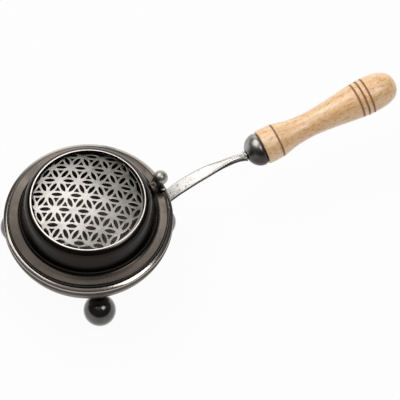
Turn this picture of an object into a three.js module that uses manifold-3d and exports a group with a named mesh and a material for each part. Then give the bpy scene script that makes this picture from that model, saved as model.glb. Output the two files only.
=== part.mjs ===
// Hand censer: a round footed bowl under a hinged cover whose collar holds a domed
// grille, carried by a forged strap handle with a steel ferrule and a turned wooden grip.
// Millimetres, +Z up. The origin is the centre of the bowl's flat underside and the handle
// points along +X.

import * as THREE from 'three';
import { mergeVertices } from 'three/addons/utils/BufferGeometryUtils.js';
import Module from 'manifold-3d';

const wasm = await Module();
wasm.setup();

// Clearances and cutting values shared by every piece
const seatGap = 0.3;
const pinClearance = 0.2;
const cutOverrun = 2;

// Bowl
const bowlRadius = 51.2;
const bowlDepth = 34.2;
const bowlWall = 1.2;
const baseFlatRadius = 6;
const beadTubeRadius = 1.7;
const beadSetback = 2;
const beadCircleRadius = bowlRadius - beadSetback;
const beadGrooveDepth = 1.2;
const beadGrooveDrop = 1.9;

// Ball feet, screwed on from inside the bowl
const footBallRadius = 9.9;
const footSeatAngle = 43.4;
const footFlatDepth = 0.25;
const footAzimuths = [-6.6, 139.8, -107.2];
const footSeatFlatDepth = 0.5;
const spacerRadius = 3.4;
const spacerThickness = 1.5924;
const footScrewRadius = 1.5;
const footScrewDepth = 6;
const footScrewHeadRadius = 2.7;
const footScrewHeadHeight = 1.4;

// Cover
const sheetThickness = 1.1;
const lipRise = 22.5;
const lipReach = 4.2;
const shoulderRadius = 2.9;
const collarFlare = 2.2;
const collarLean = 8;
const collarFillet = 2.4;
const brimWidth = 8.1;
const brimSetback = 1;
const brimRise = 3.9;
const hemDrop = 2.2;
const brimRadius = beadCircleRadius - brimSetback;
const collarFootRadius = brimRadius - brimWidth;
const collarTopRadius = collarFootRadius - collarFlare;
const lipOpeningRadius = collarTopRadius - lipReach;
const lipHeight = bowlDepth + lipRise;

// Grille
const grilleClearance = 1.7;
const grilleRadius = collarTopRadius - sheetThickness - grilleClearance;
const grilleRingWidth = 1.6;
const grilleSheet = 0.9;
const grilleSag = 5.6;
const grilleBelowLip = 3.1;
const grilleShift = 1.55;
const grilleShiftAzimuth = 132;
const grilleTurn = 27.3;
const leafLengthShare = 0.55;
const leafWidthShare = 0.195;
const triangleReachShare = 0.135;
const triangleWaistShare = 0.075;
const stripHalfShare = 0.06;
const bridgeHalfShare = 0.035;

// Lugs under the grille
const lugAzimuths = [27.3, 147.3, 267.3];
const lugReach = 5.6;
const lugWidth = 5;
const lugThickness = 1.2;

// Hinge and thumb ball
const hingeSetback = 0.7;
const hingePinX = brimRadius - hingeSetback;
const hingePinRise = 5;
const hingePinRadius = 0.9;
const hingePinHeadRadius = 1.4;
const hingePinHead = 0.6;
const knuckleRadius = 1.75;
const knuckleHalfWidth = 2.9;
const earThickness = 1;
const saddleThickness = 0.9;
const saddleInnerX = beadCircleRadius - 2.1;
const saddleOuterX = beadCircleRadius + 0.6;
const leafReach = 5.4;
const leafThickness = 0.9;
const leafRivetRadius = 0.6;
const leafRivetHeadRadius = 1.1;
const leafRivetHead = 0.5;
const leafRivetSpread = 1.55;
const leafRivetSetback = 3.9;
const thumbBallRadius = 4.45;
const thumbBallRise = 12.2;
const thumbBallOut = 0.4;
const thumbStemRadius = 1.1;
const thumbBoreDepth = 3.2;

// Strap
const padWidth = 11;
const padThickness = 1.7;
const padStartAngle = 37.5;
const padEaseAngle = 1.5;
const padEndAngle = 29.5;
const rivetAngle = 33.6;
const strapRivetRadius = 1.1;
const strapRivetHeadRadius = 1.9;
const strapRivetHead = 0.9;
const strapRivetSpread = 2.9;
const strapWidth = 8.2;
const strapThickness = 2.4;
const neckRadius = 2.4;
const neckFlareRadius = 3.5;
const tangRadius = 2;
const tangLength = 40;
// Each row: share of the reach, share of the rise, width, thickness and squareness.
const archShares = [
  [0.132, 0.287, 1, 1, 1],
  [0.243, 0.573, 1, 1, 1],
  [0.354, 0.784, 0.99, 1, 1],
  [0.466, 0.95, 0.95, 1, 0.95],
  [0.577, 1.056, 0.87, 1.05, 0.85],
  [0.66, 1.094, 0.75, 1.25, 0.6],
  [0.745, 1.109, 0.64, 1.6, 0.3],
  [0.829, 1.116, 0.6, 1.95, 0],
  [0.915, 1.086, 0.6, 2.05, 0],
];

// Ferrule
const ferruleRadius = 10.3;
const ferruleMouthRadius = 9.7;
const ferruleDepth = 11.2;
const ferruleWall = 0.9;
const ferruleWaistShare = 0.2;

// Wooden grip on an axis that rises away from the bowl
const handleRise = 8.1;
const handleDrop = 20;
const ferruleStandoff = 66.3;
const handleAxisHeight = bowlDepth - handleDrop;
const ferruleMouthReach = bowlRadius + ferruleStandoff;
const gripLength = 92.4;
const gripRadius = 10.75;
const gripSpigotRadius = 7.6;
const gripSpigotLength = 3.5;
const grooveDepth = 0.45;
const grooveHalfWidth = 0.45;
const grooveShares = [0.107, 0.707, 0.746, 0.784];
// Distance from the ferrule as a share of the length, radius as a share of the radius
const gripShares = [
  [0, 0.99],
  [0.022, 1.025],
  [0.107, 1],
  [0.165, 0.895],
  [0.228, 0.787],
  [0.35, 0.718],
  [0.472, 0.787],
  [0.606, 0.922],
  [0.707, 1.02],
  [0.784, 1.063],
  [0.883, 1],
  [0.95, 0.8],
  [0.985, 0.47],
  [1, 0],
];

// Facet counts
const roundSteps = 40;
const ballSteps = 16;
const smallSteps = 12;
const gripSteps = 20;
const gripRows = 22;
const sectorSteps = 8;
const leafSides = 8;

const degrees = Math.PI / 180;

function colour(hex, roughness, metalness) {
  return new THREE.MeshStandardMaterial({ color: hex, roughness, metalness });
}

// One closed body: shared corners joined, collapsed faces dropped, faces turned outwards.
function closed(geometry) {
  geometry.deleteAttribute('normal');
  geometry.deleteAttribute('uv');
  const welded = mergeVertices(geometry, seatGap / 1000);
  const source = welded.index.array;
  const place = welded.attributes.position;
  const corners = [new THREE.Vector3(), new THREE.Vector3(), new THREE.Vector3()];
  const kept = [];
  let volume = 0;
  for (let i = 0; i < source.length; i += 3) {
    const face = [source[i], source[i + 1], source[i + 2]];
    if (new Set(face).size < 3) continue;
    kept.push(...face);
    face.forEach((index, k) => corners[k].fromBufferAttribute(place, index));
    volume += corners[0].dot(corners[1].cross(corners[2]));
  }
  if (volume < 0) {
    for (let i = 0; i < kept.length; i += 3) {
      [kept[i], kept[i + 1]] = [kept[i + 1], kept[i]];
    }
  }
  welded.setIndex(kept);
  return welded;
}

function toSolid(geometry) {
  const body = closed(geometry);
  const vertProperties = new Float32Array(body.attributes.position.array);
  const triVerts = new Uint32Array(body.index.array);
  return new wasm.Manifold(new wasm.Mesh({ numProp: 3, vertProperties, triVerts }));
}

function fromSolid(solid) {
  const mesh = solid.getMesh();
  const geometry = new THREE.BufferGeometry();
  geometry.setAttribute('position', new THREE.BufferAttribute(mesh.vertProperties, 3));
  geometry.setIndex(new THREE.BufferAttribute(mesh.triVerts, 1));
  return geometry;
}

function cutAway(geometry, cutters) {
  let solid = toSolid(geometry);
  for (const cutter of cutters) {
    solid = solid.subtract(toSolid(cutter));
  }
  return fromSolid(solid);
}

function joined(geometries) {
  return fromSolid(geometries.map(toSolid).reduce((whole, next) => whole.add(next)));
}

// A profile of [radius, height] points turned about Z
function turned(points, steps) {
  const profile = points.map(([radius, height]) => new THREE.Vector2(radius, height));
  return new THREE.LatheGeometry(profile, steps).rotateX(Math.PI / 2);
}

// A round bar along Z between two heights
function bar(radius, low, high, steps = smallSteps) {
  return turned([[0, low], [radius, low], [radius, high], [0, high]], steps);
}

function block(low, high) {
  const size = high.clone().sub(low);
  const middle = high.clone().add(low).multiplyScalar(0.5);
  return new THREE.BoxGeometry(size.x, size.y, size.z).translate(middle.x, middle.y, middle.z);
}

function arcPoints(centreRadius, centreHeight, radius, from, to, steps) {
  const points = [];
  for (let i = 0; i <= steps; i += 1) {
    const angle = (from + ((to - from) * i) / steps) * degrees;
    points.push([centreRadius + radius * Math.cos(angle), centreHeight + radius * Math.sin(angle)]);
  }
  return points;
}

function named(name, geometry, material) {
  const mesh = new THREE.Mesh(closed(geometry), material);
  mesh.name = name;
  return mesh;
}

// The bowl's outer wall is a quarter ellipse about its flat base, by its angle below the rim.
function wallPoint(angle, inset = 0) {
  const radius = baseFlatRadius + (bowlRadius - baseFlatRadius - inset) * Math.cos(angle * degrees);
  const height = bowlDepth - (bowlDepth - inset) * Math.sin(angle * degrees);
  return new THREE.Vector2(radius, height);
}

function wallNormal(angle) {
  const across = bowlDepth * Math.cos(angle * degrees);
  const down = (bowlRadius - baseFlatRadius) * Math.sin(angle * degrees);
  return new THREE.Vector2(across, -down).normalize();
}

// A frame on the wall: local +Z points out of the bowl, local +X runs round it.
function wallFrame(angle, azimuth) {
  const point = wallPoint(angle);
  const normal = wallNormal(angle);
  const outward = new THREE.Vector3(normal.x, 0, normal.y);
  const around = new THREE.Vector3(0, 1, 0);
  const matrix = new THREE.Matrix4().makeBasis(around, outward.clone().cross(around), outward);
  matrix.setPosition(point.x, 0, point.y);
  return new THREE.Matrix4().makeRotationZ(azimuth * degrees).multiply(matrix);
}

const darkSteel = colour(0x5a514c, 0.42, 0.9);
const blackSteel = colour(0x1c1a19, 0.2, 0.9);
const brightSteel = colour(0xd8d2ca, 0.25, 1);
const satinSteel = colour(0x9b9894, 0.35, 1);
const paleWood = colour(0xdcb284, 0.6, 0);

// A foot sits square on the wall: spacer, then ball, with a gap on either side of the spacer.
const footSeat = spacerThickness + 2 * seatGap;
const footReach = footSeat + footBallRadius - footSeatFlatDepth;
const footCentreHeight = wallPoint(footSeatAngle).y + wallNormal(footSeatAngle).y * footReach;
const standHeight = footBallRadius - footFlatDepth - footCentreHeight;

const rivetTurn = Math.asin(strapRivetSpread / wallPoint(rivetAngle).x) / degrees;
const rivetPlaces = [['left', rivetTurn], ['right', -rivetTurn]];

function makeBowl() {
  const wallSteps = 9;
  const topAngle = 6;
  const profile = [[0, 0]];
  for (let i = 0; i <= wallSteps; i += 1) {
    profile.push(wallPoint(90 - ((90 - topAngle) * i) / wallSteps).toArray());
  }
  profile.push([bowlRadius - beadGrooveDepth, bowlDepth - beadGrooveDrop]);
  profile.push(...arcPoints(beadCircleRadius, bowlDepth, beadTubeRadius, -45, 225, 7));
  for (let i = 0; i <= wallSteps; i += 1) {
    const angle = topAngle + ((90 - topAngle) * i) / wallSteps;
    profile.push(wallPoint(angle, bowlWall).toArray());
  }
  profile.push([0, bowlWall]);
  const cutters = footAzimuths.map((azimuth) => {
    const drill = bar(footScrewRadius + seatGap, -bowlWall - cutOverrun, cutOverrun);
    return drill.applyMatrix4(wallFrame(footSeatAngle, azimuth));
  });
  for (const [, azimuth] of rivetPlaces) {
    const drill = bar(strapRivetRadius + seatGap, -bowlWall - cutOverrun, cutOverrun);
    cutters.push(drill.applyMatrix4(wallFrame(rivetAngle, azimuth)));
  }
  return named('bowl', cutAway(turned(profile, roundSteps), cutters), darkSteel);
}

function makeFoot(label, azimuth) {
  const frame = wallFrame(footSeatAngle, azimuth);
  const seatSine = 1 - footSeatFlatDepth / footBallRadius;
  const seatRise = -Math.asin(seatSine) / degrees;
  const boreRadius = footScrewRadius + seatGap;
  const boreEnd = footSeat + footScrewDepth;
  const ball = turned([
    [0, boreEnd],
    [boreRadius, boreEnd],
    [boreRadius, footSeat],
    ...arcPoints(0, footReach, footBallRadius, seatRise, 90, 8),
  ], ballSteps).applyMatrix4(frame);
  const spread = bowlRadius + footBallRadius;
  const floor = block(
    new THREE.Vector3(-spread, -spread, -standHeight - footBallRadius),
    new THREE.Vector3(spread, spread, -standHeight),
  );
  const pieces = [named(`foot_ball_${label}`, cutAway(ball, [floor]), blackSteel)];

  const spacer = turned([
    [boreRadius, seatGap],
    [spacerRadius, seatGap],
    [spacerRadius, seatGap + spacerThickness],
    [boreRadius, seatGap + spacerThickness],
    [boreRadius, seatGap],
  ], smallSteps);
  const headSeat = -bowlWall - seatGap;
  const screw = turned([
    [0, headSeat - footScrewHeadHeight],
    [footScrewHeadRadius / 2, headSeat - footScrewHeadHeight],
    [footScrewHeadRadius, headSeat - footScrewHeadHeight / 3],
    [footScrewHeadRadius, headSeat],
    [footScrewRadius, headSeat],
    [footScrewRadius, boreEnd - seatGap],
    [0, boreEnd - seatGap],
  ], smallSteps);
  for (const [name, geometry] of [['foot_spacer', spacer], ['foot_screw', screw]]) {
    const mesh = named(`${name}_${label}`, geometry, satinSteel);
    mesh.applyMatrix4(frame);
    pieces.push(mesh);
  }
  return pieces;
}

const brimTop = bowlDepth + brimRise;
const brimUnder = brimTop - sheetThickness;
const pinHeight = bowlDepth + hingePinRise;
const earInner = knuckleHalfWidth + seatGap;
const earOuter = earInner + earThickness;
const pinHalfLength = earOuter + seatGap + hingePinHead;
const leafUnder = brimTop + seatGap;
const leafRivetX = hingePinX - leafRivetSetback;
const leafRivetPlaces = [['left', leafRivetSpread], ['right', -leafRivetSpread]];

// The collar from its shoulder to the fillet above the brim, drawn at the sheet's outer face
// or inset by its thickness.
function collarProfile(inset) {
  const shoulderCentre = [collarTopRadius - shoulderRadius, lipHeight - shoulderRadius];
  const shoulder = arcPoints(...shoulderCentre, shoulderRadius - inset, 90, collarLean, 4);
  const filletRadius = collarFillet + inset;
  const filletCentre = [collarFootRadius + collarFillet, brimTop + collarFillet];
  const fillet = arcPoints(...filletCentre, filletRadius, 180 + collarLean, 270, 4);
  return [...shoulder, ...fillet];
}

function makeCover() {
  const lipMiddle = lipHeight - sheetThickness / 2;
  const lipEnd = arcPoints(
    lipOpeningRadius + sheetThickness / 2, lipMiddle, sheetThickness / 2, 270, 90, 3,
  );
  const profile = [
    ...lipEnd,
    ...collarProfile(0),
    [brimRadius - sheetThickness / 3, brimTop],
    [brimRadius, brimTop - sheetThickness / 3],
    [brimRadius, brimTop - hemDrop],
    [brimRadius - sheetThickness, brimTop - hemDrop],
    [brimRadius - sheetThickness, brimUnder],
    ...collarProfile(sheetThickness).reverse(),
    lipEnd[0],
  ];
  const notchInner = hingePinX - knuckleRadius - 2 * seatGap;
  const notchHalf = pinHalfLength + seatGap + pinClearance;
  const notch = block(
    new THREE.Vector3(notchInner, -notchHalf, brimTop - hemDrop - cutOverrun),
    new THREE.Vector3(brimRadius + cutOverrun, notchHalf, brimTop + cutOverrun),
  );
  const drills = leafRivetPlaces.map(([, sideways]) => {
    const drill = bar(leafRivetRadius + seatGap, brimUnder - cutOverrun, brimTop + cutOverrun);
    return drill.translate(leafRivetX, sideways, 0);
  });
  return named('cover', cutAway(turned(profile, roundSteps), [notch, ...drills]), darkSteel);
}

const grilleEdgeTop = lipHeight - grilleBelowLip;
const pitch = (grilleRadius - grilleRingWidth / 2) / 3;

// Lattice corner by its two steps along directions 60 degrees apart
function latticePoint(across, up) {
  return new THREE.Vector2(across + up / 2, (up * Math.sqrt(3)) / 2).multiplyScalar(pitch);
}

function inLattice(across, up) {
  return Math.max(Math.abs(across), Math.abs(up), Math.abs(across + up)) <= 3;
}

// Leaf-shaped hole on the line between two neighbouring corners, tips at 0 and half way round
function leafHole(start, end) {
  const middle = start.clone().add(end).multiplyScalar(0.5);
  const angle = end.clone().sub(start).angle();
  const points = [];
  for (let i = 0; i < leafSides; i += 1) {
    const turn = (2 * Math.PI * i) / leafSides;
    const along = (leafLengthShare * pitch * Math.cos(turn)) / 2;
    const aside = (leafWidthShare * pitch * Math.sin(turn)) / 2;
    const point = new THREE.Vector2(along, aside).rotateAround(new THREE.Vector2(), angle);
    points.push(point.add(middle));
  }
  return points;
}

// A small three-pointed hole with drawn-in sides
function triangleHole(middle, angle) {
  const points = [];
  const bluntness = 0.16;
  for (let i = 0; i < 3; i += 1) {
    const corner = angle + (2 * Math.PI * i) / 3;
    for (const side of [-bluntness, bluntness]) {
      const reach = triangleReachShare * pitch;
      points.push(new THREE.Vector2(Math.cos(corner + side), Math.sin(corner + side))
        .multiplyScalar(reach).add(middle));
    }
    const waist = corner + Math.PI / 3;
    points.push(new THREE.Vector2(Math.cos(waist), Math.sin(waist))
      .multiplyScalar(triangleWaistShare * pitch).add(middle));
  }
  return points;
}

// The gap between the ring and one half of a small lobe, mirrored for the other half.
function rimHole(lobeAngle, side) {
  const arcRadius = (1 + stripHalfShare) * pitch;
  const ringInner = grilleRadius - grilleRingWidth;
  const lobe = new THREE.Vector2(Math.sqrt(3) * pitch, 0);
  const bigLobe = new THREE.Vector2(2 * pitch, 0).rotateAround(new THREE.Vector2(), Math.PI / 6);
  const bridge = bridgeHalfShare * pitch;
  const points = [];
  const ringStart = Math.asin(bridge / ringInner);
  const cosine = (ringInner ** 2 + bigLobe.lengthSq() - arcRadius ** 2)
    / (2 * ringInner * bigLobe.length());
  const ringEnd = Math.PI / 6 - Math.acos(cosine);
  const ringSteps = 3;
  for (let i = 0; i <= ringSteps; i += 1) {
    const angle = ringStart + ((ringEnd - ringStart) * i) / ringSteps;
    points.push(new THREE.Vector2(Math.cos(angle), Math.sin(angle)).multiplyScalar(ringInner));
  }
  const notch = bigLobe.clone().sub(lobe);
  const halfSpan = notch.length() / 2;
  const notchReach = Math.sqrt(arcRadius ** 2 - halfSpan ** 2);
  const notchPoint = lobe.clone().add(bigLobe).multiplyScalar(0.5)
    .add(new THREE.Vector2(notch.y, -notch.x).normalize().multiplyScalar(notchReach));
  const toNotch = notchPoint.clone().sub(lobe).angle();
  const bigFrom = points[ringSteps].clone().sub(bigLobe).angle();
  const bigTo = notchPoint.clone().sub(bigLobe).angle();
  const bigTurn = ((bigTo - bigFrom + 3 * Math.PI) % (2 * Math.PI)) - Math.PI;
  for (const share of [0.45, 0.9]) {
    const angle = bigFrom + bigTurn * share;
    points.push(new THREE.Vector2(Math.cos(angle), Math.sin(angle))
      .multiplyScalar(arcRadius).add(bigLobe));
  }
  const lobeEnd = Math.asin(bridge / arcRadius);
  for (const share of [0.9, 0.5]) {
    const angle = lobeEnd + (toNotch - lobeEnd) * share;
    points.push(new THREE.Vector2(Math.cos(angle), Math.sin(angle))
      .multiplyScalar(arcRadius).add(lobe));
  }
  points.push(new THREE.Vector2(Math.cos(lobeEnd), Math.sin(lobeEnd))
    .multiplyScalar(arcRadius).add(lobe));
  const placed = points.map((point) => new THREE.Vector2(point.x, point.y * side)
    .rotateAround(new THREE.Vector2(), lobeAngle));
  return side > 0 ? placed : placed.reverse();
}

// The six directions between neighbouring corners, as lattice steps
const latticeSteps = [[1, 0], [0, 1], [-1, 1], [-1, 0], [0, -1], [1, -1]];

function stepFrom([across, up], direction, count = 1) {
  const [dx, dy] = latticeSteps[direction % latticeSteps.length];
  return [across + count * dx, up + count * dy];
}

// Every leaf hole of the lattice, found from either of its two corners
function latticeLeaves() {
  const leaves = new Map();
  for (let across = -3; across <= 3; across += 1) {
    for (let up = -3; up <= 3; up += 1) {
      for (let direction = 0; direction < 3; direction += 1) {
        const end = stepFrom([across, up], direction);
        if (!inLattice(across, up) || !inLattice(...end)) continue;
        const points = leafHole(latticePoint(across, up), latticePoint(...end));
        leaves.set(`${[across, up]}>${end}`, points);
      }
    }
  }
  return leaves;
}

// The way from one corner to its neighbour, round the half of the leaf on the left
function edgeWay(leaves, from, to) {
  const half = leafSides / 2;
  const ahead = leaves.get(`${from}>${to}`);
  const points = ahead || leaves.get(`${to}>${from}`);
  const way = [latticePoint(...from)];
  for (let i = 0; i <= half; i += 1) {
    way.push(points[ahead ? half - i : (leafSides - i) % leafSides]);
  }
  return way;
}

function rimPoint(index) {
  const count = 6 * sectorSteps;
  const angle = (2 * Math.PI * (index % count)) / count;
  return new THREE.Vector2(Math.cos(angle), Math.sin(angle)).multiplyScalar(grilleRadius);
}

// One cell for each small triangle of the lattice, and six outer cells that hold the rim
function grilleCells(leaves) {
  const cells = [];
  for (let across = -3; across <= 3; across += 1) {
    for (let up = -3; up <= 3; up += 1) {
      for (const direction of [0, 1]) {
        const corners = [
          [across, up],
          stepFrom([across, up], direction),
          stepFrom([across, up], direction + 1),
        ];
        if (!corners.every((corner) => inLattice(...corner))) continue;
        const contour = corners.flatMap(
          (corner, i) => edgeWay(leaves, corner, corners[(i + 1) % 3]),
        );
        const middle = corners.reduce(
          (sum, corner) => sum.add(latticePoint(...corner)), new THREE.Vector2(),
        ).multiplyScalar(1 / 3);
        const pointing = direction === 0 ? Math.PI / 2 : -Math.PI / 2;
        cells.push({ contour, holes: [triangleHole(middle, pointing)] });
      }
    }
  }
  for (let sector = 0; sector < 6; sector += 1) {
    const first = stepFrom([0, 0], sector, 3);
    const contour = [];
    for (let i = 3; i > 0; i -= 1) {
      const from = stepFrom(first, sector + 2, i);
      contour.push(...edgeWay(leaves, from, stepFrom(first, sector + 2, i - 1)));
    }
    contour.push(latticePoint(...first));
    for (let i = 0; i <= sectorSteps; i += 1) {
      contour.push(rimPoint(sector * sectorSteps + i));
    }
    const lobeAngle = (Math.PI / 3) * (sector + 0.5);
    cells.push({ contour, holes: [rimHole(lobeAngle, 1), rimHole(lobeAngle, -1)] });
  }
  return cells;
}

// A flat plate from its cells, walled along every hole and round the rim, then domed
function makeGrille() {
  const leaves = latticeLeaves();
  const cells = grilleCells(leaves);
  const triangles = [];
  const at = (point, top) => {
    const share = point.length() / grilleRadius;
    const height = grilleSag * (1 - share * share);
    return [point.x, point.y, top ? height + grilleSheet : height];
  };
  const addWall = (loop) => {
    loop.forEach((from, i) => {
      const to = loop[(i + 1) % loop.length];
      triangles.push(at(from, false), at(to, false), at(to, true));
      triangles.push(at(from, false), at(to, true), at(from, true));
    });
  };
  for (const { contour, holes } of cells) {
    const corners = [...contour, ...holes.flat()];
    for (const face of THREE.ShapeUtils.triangulateShape(contour, holes)) {
      const [a, b, c] = face.map((index) => corners[index]);
      const leftHanded = b.clone().sub(a).cross(c.clone().sub(a)) > 0;
      const [second, third] = leftHanded ? [b, c] : [c, b];
      triangles.push(at(a, true), at(second, true), at(third, true));
      triangles.push(at(a, false), at(third, false), at(second, false));
    }
    holes.forEach((hole) => addWall([...hole].reverse()));
  }
  leaves.forEach((leaf) => addWall([...leaf].reverse()));
  addWall(Array.from({ length: 6 * sectorSteps }, (_, index) => rimPoint(index)));
  const geometry = new THREE.BufferGeometry();
  geometry.setAttribute('position', new THREE.Float32BufferAttribute(triangles.flat(), 3));
  const mesh = named('grille', geometry, brightSteel);
  const towards = grilleShiftAzimuth * degrees;
  mesh.position.set(
    grilleShift * Math.cos(towards),
    grilleShift * Math.sin(towards),
    grilleEdgeTop - grilleSheet,
  );
  mesh.rotation.z = grilleTurn * degrees;
  return mesh;
}

function makeLug(label, azimuth) {
  const top = grilleEdgeTop - grilleSheet - seatGap;
  const drop = (lipHeight - shoulderRadius - top) / (lipHeight - shoulderRadius - brimTop);
  const wallRadius = collarTopRadius + (collarFootRadius - collarTopRadius) * drop;
  const outer = wallRadius - sheetThickness - 2 * seatGap;
  const tip = outer - lugReach;
  const outline = new THREE.Shape();
  const tipRadius = lugWidth / 2;
  outline.moveTo(outer, tipRadius);
  outline.lineTo(tip + tipRadius, tipRadius);
  outline.absarc(tip + tipRadius, 0, tipRadius, Math.PI / 2, (3 * Math.PI) / 2);
  outline.lineTo(outer, -tipRadius);
  const geometry = new THREE.ExtrudeGeometry(outline, {
    depth: lugThickness, bevelEnabled: false, curveSegments: 6,
  });
  const mesh = named(`grille_lug_${label}`, geometry, darkSteel);
  mesh.position.z = top - lugThickness;
  mesh.rotation.z = azimuth * degrees;
  return mesh;
}

// Bars along Y, the direction of the hinge pin
function crossBar(radius, low, high, steps = smallSteps) {
  return bar(radius, low, high, steps).rotateX(-Math.PI / 2).translate(hingePinX, 0, pinHeight);
}

function makeHingeBracket() {
  const saddleUnder = bowlDepth + beadTubeRadius + seatGap;
  const saddleTop = saddleUnder + saddleThickness;
  const saddle = block(
    new THREE.Vector3(saddleInnerX, -earOuter, saddleUnder),
    new THREE.Vector3(saddleOuterX, earOuter, saddleTop),
  );
  const pieces = [saddle];
  for (const side of [1, -1]) {
    const low = side > 0 ? earInner : -earOuter;
    pieces.push(crossBar(knuckleRadius, low, low + earThickness));
    pieces.push(block(
      new THREE.Vector3(hingePinX - knuckleRadius / 4, low, saddleUnder),
      new THREE.Vector3(hingePinX + knuckleRadius, low + earThickness, pinHeight),
    ));
  }
  const bore = crossBar(
    hingePinRadius + pinClearance, -earOuter - cutOverrun, earOuter + cutOverrun,
  );
  return named('hinge_bracket', cutAway(joined(pieces), [bore]), darkSteel);
}

function makeHingePin() {
  const points = [
    [0, -pinHalfLength],
    [hingePinHeadRadius / 2, -pinHalfLength],
    [hingePinHeadRadius, -pinHalfLength + hingePinHead / 2],
    [hingePinHeadRadius, -pinHalfLength + hingePinHead],
    [hingePinRadius, -pinHalfLength + hingePinHead],
  ];
  const other = points.map(([radius, height]) => [radius, -height]).reverse();
  const pin = turned([...points, ...other], smallSteps).rotateX(-Math.PI / 2);
  return named('hinge_pin', pin.translate(hingePinX, 0, pinHeight), satinSteel);
}

function makeHingeLeaf() {
  const plate = block(
    new THREE.Vector3(hingePinX - leafReach, -knuckleHalfWidth, leafUnder),
    new THREE.Vector3(hingePinX, knuckleHalfWidth, leafUnder + leafThickness),
  );
  const knuckle = crossBar(knuckleRadius, -knuckleHalfWidth, knuckleHalfWidth);
  const stemTop = bowlDepth + thumbBallRise - thumbBallRadius + thumbBoreDepth - seatGap;
  const stem = bar(thumbStemRadius, pinHeight, stemTop).translate(hingePinX + thumbBallOut, 0, 0);
  const bore = crossBar(
    hingePinRadius + pinClearance, -knuckleHalfWidth - cutOverrun, knuckleHalfWidth + cutOverrun,
  );
  const drills = leafRivetPlaces.map(([, sideways]) => {
    const drill = bar(leafRivetRadius + seatGap, brimTop - cutOverrun, leafUnder + cutOverrun);
    return drill.translate(leafRivetX, sideways, 0);
  });
  const body = joined([plate, knuckle, stem]);
  return named('hinge_leaf', cutAway(body, [bore, ...drills]), darkSteel);
}

function makeLeafRivet(label, sideways) {
  const low = brimUnder - seatGap;
  const high = leafUnder + leafThickness + seatGap;
  const rivet = turned([
    [0, low - leafRivetHead],
    [leafRivetHeadRadius, low - leafRivetHead],
    [leafRivetHeadRadius, low],
    [leafRivetRadius, low],
    [leafRivetRadius, high],
    [leafRivetHeadRadius, high],
    [leafRivetHeadRadius / 2, high + leafRivetHead],
    [0, high + leafRivetHead],
  ], smallSteps);
  const mesh = named(`leaf_rivet_${label}`, rivet, satinSteel);
  mesh.position.set(leafRivetX, sideways, 0);
  return mesh;
}

function makeThumbBall() {
  const boreRadius = thumbStemRadius + seatGap;
  const mouth = -Math.sqrt(thumbBallRadius ** 2 - boreRadius ** 2);
  const boreEnd = -thumbBallRadius + thumbBoreDepth;
  const mouthAngle = -Math.acos(boreRadius / thumbBallRadius) / degrees;
  const ball = turned([
    [0, boreEnd],
    [boreRadius, boreEnd],
    [boreRadius, mouth],
    ...arcPoints(0, 0, thumbBallRadius, mouthAngle, 90, 8).slice(1),
  ], ballSteps);
  const mesh = named('thumb_ball', ball, satinSteel);
  mesh.position.set(hingePinX + thumbBallOut, 0, bowlDepth + thumbBallRise);
  return mesh;
}

// A point on the grip's axis by its distance from the ferrule's mouth
function axisPoint(distance) {
  const slope = handleRise * degrees;
  const reach = ferruleMouthReach + distance * Math.cos(slope);
  const height = handleAxisHeight + ferruleMouthReach * Math.tan(slope);
  return new THREE.Vector2(reach, height + distance * Math.sin(slope));
}

function padStation(angle, width) {
  const lift = seatGap + padThickness / 2;
  const centre = wallPoint(angle).addScaledVector(wallNormal(angle), lift);
  return { centre, width, thickness: padThickness, square: 1 };
}

function strapStations() {
  const stations = [
    padStation(padStartAngle, padWidth * 0.86),
    padStation(padStartAngle - padEaseAngle, padWidth),
    padStation(rivetAngle, padWidth),
    padStation(padEndAngle, padWidth * 0.95),
  ];
  const start = stations[3].centre;
  const shoulder = axisPoint(-ferruleDepth - seatGap);
  for (const [along, up, wide, thick, square] of archShares) {
    const centre = new THREE.Vector2(
      THREE.MathUtils.lerp(start.x, shoulder.x, along),
      THREE.MathUtils.lerp(start.y, shoulder.y, up),
    );
    stations.push({
      centre, width: wide * strapWidth, thickness: thick * strapThickness, square,
    });
  }
  const rounds = [
    [-ferruleDepth - seatGap - neckRadius / 2, neckRadius * 1.15],
    [-ferruleDepth - seatGap, neckFlareRadius],
    [-ferruleDepth, tangRadius],
    [tangLength - tangRadius, tangRadius],
    [tangLength, tangRadius / 2],
  ];
  for (const [distance, radius] of rounds) {
    stations.push({
      centre: axisPoint(distance), width: 2 * radius, thickness: 2 * radius, square: 0,
    });
  }
  return stations;
}

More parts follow.
